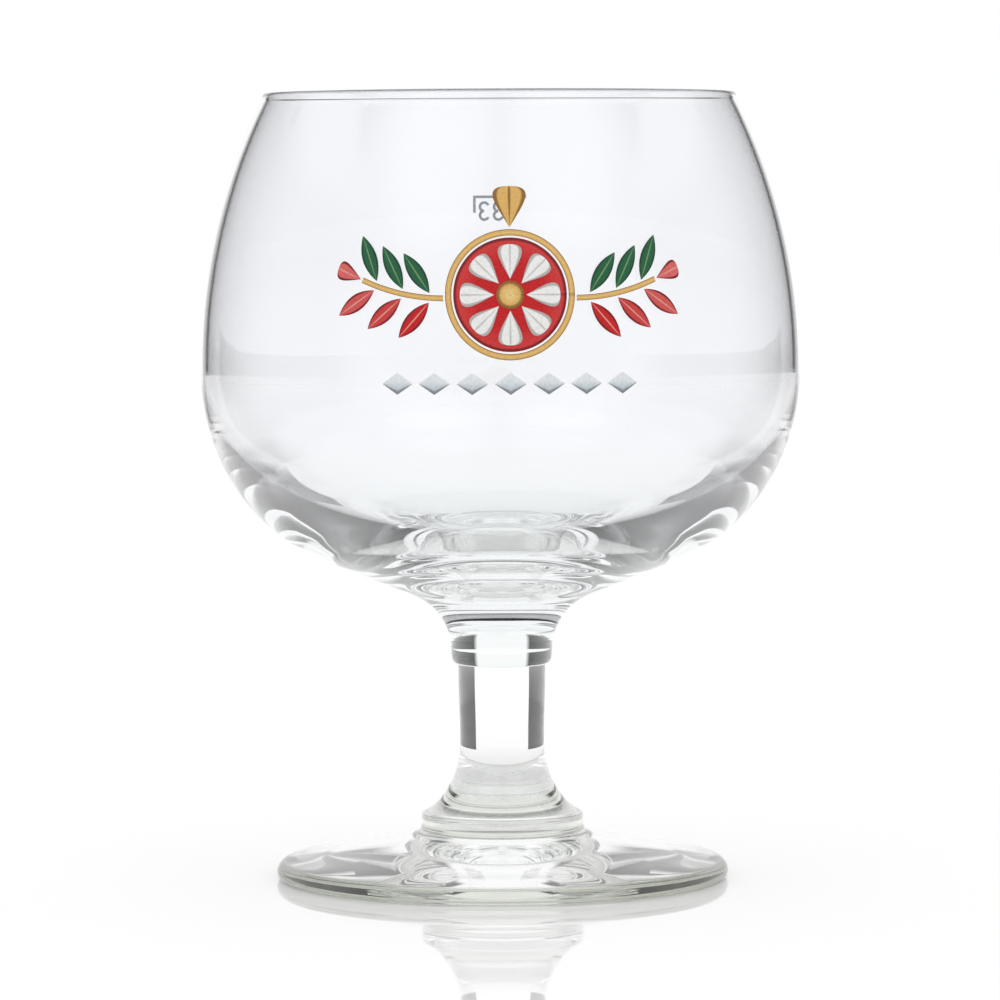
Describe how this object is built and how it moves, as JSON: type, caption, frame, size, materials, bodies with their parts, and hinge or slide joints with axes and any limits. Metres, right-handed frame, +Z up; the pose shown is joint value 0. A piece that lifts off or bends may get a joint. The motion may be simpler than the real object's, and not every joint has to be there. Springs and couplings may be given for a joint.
{
  "type": "stemmed beer glass",
  "caption": "Stemmed balloon drinking glass: a thin incurved bowl on a solid stem and a round foot, with a fired enamel ornament on its front and a fill mark on its back.",
  "frame": {"origin": "centre of the foot's standing ring, on the surface that the glass stands on", "axes": "+Z up along the axis of the bowl, the stem and the foot; -Y towards the front, which carries the ornament"},
  "size_m": [0.0956, 0.0959, 0.1255],
  "materials": {
    "clear_glass": "fire polished",
    "enamel_red": "gloss fired enamel",
    "enamel_gold": "gloss fired enamel",
    "enamel_green": "gloss fired enamel",
    "enamel_white": "gloss fired enamel",
    "enamel_grey": "gloss fired enamel"
  },
  "bodies": {
    "root": {"bowl": "clear_glass", "stem": "clear_glass", "foot": "clear_glass", "rosette_ground": "enamel_red", "rosette_ring": "enamel_gold", "rosette_heart": "enamel_gold", "rosette_finial": "enamel_gold", "rosette_petal_1": "enamel_white", "rosette_petal_2": "enamel_white", "rosette_petal_3": "enamel_white", "rosette_petal_4": "enamel_white", "rosette_petal_5": "enamel_white", "rosette_petal_6": "enamel_white", "rosette_petal_7": "enamel_white", "rosette_petal_8": "enamel_white", "spray_stalk_left": "enamel_gold", "spray_leaf_left_upper_1": "enamel_green", "spray_leaf_left_upper_2": "enamel_green", "spray_leaf_left_upper_3": "enamel_green", "spray_leaf_left_lower_1": "enamel_red", "spray_leaf_left_lower_2": "enamel_red", "spray_leaf_left_lower_3": "enamel_red", "spray_bud_left": "enamel_red", "spray_stalk_right": "enamel_gold", "spray_leaf_right_upper_1": "enamel_green", "spray_leaf_right_upper_2": "enamel_green", "spray_leaf_right_upper_3": "enamel_green", "spray_leaf_right_lower_1": "enamel_red", "spray_leaf_right_lower_2": "enamel_red", "spray_leaf_right_lower_3": "enamel_red", "spray_bud_right": "enamel_red", "lozenge_1": "enamel_grey", "lozenge_2": "enamel_grey", "lozenge_3": "enamel_grey", "lozenge_4": "enamel_grey", "lozenge_5": "enamel_grey", "lozenge_6": "enamel_grey", "lozenge_7": "enamel_grey", "fill_line": "enamel_grey", "fill_digit_first": "enamel_grey", "fill_digit_last": "enamel_grey"}
  },
  "joints": []
}
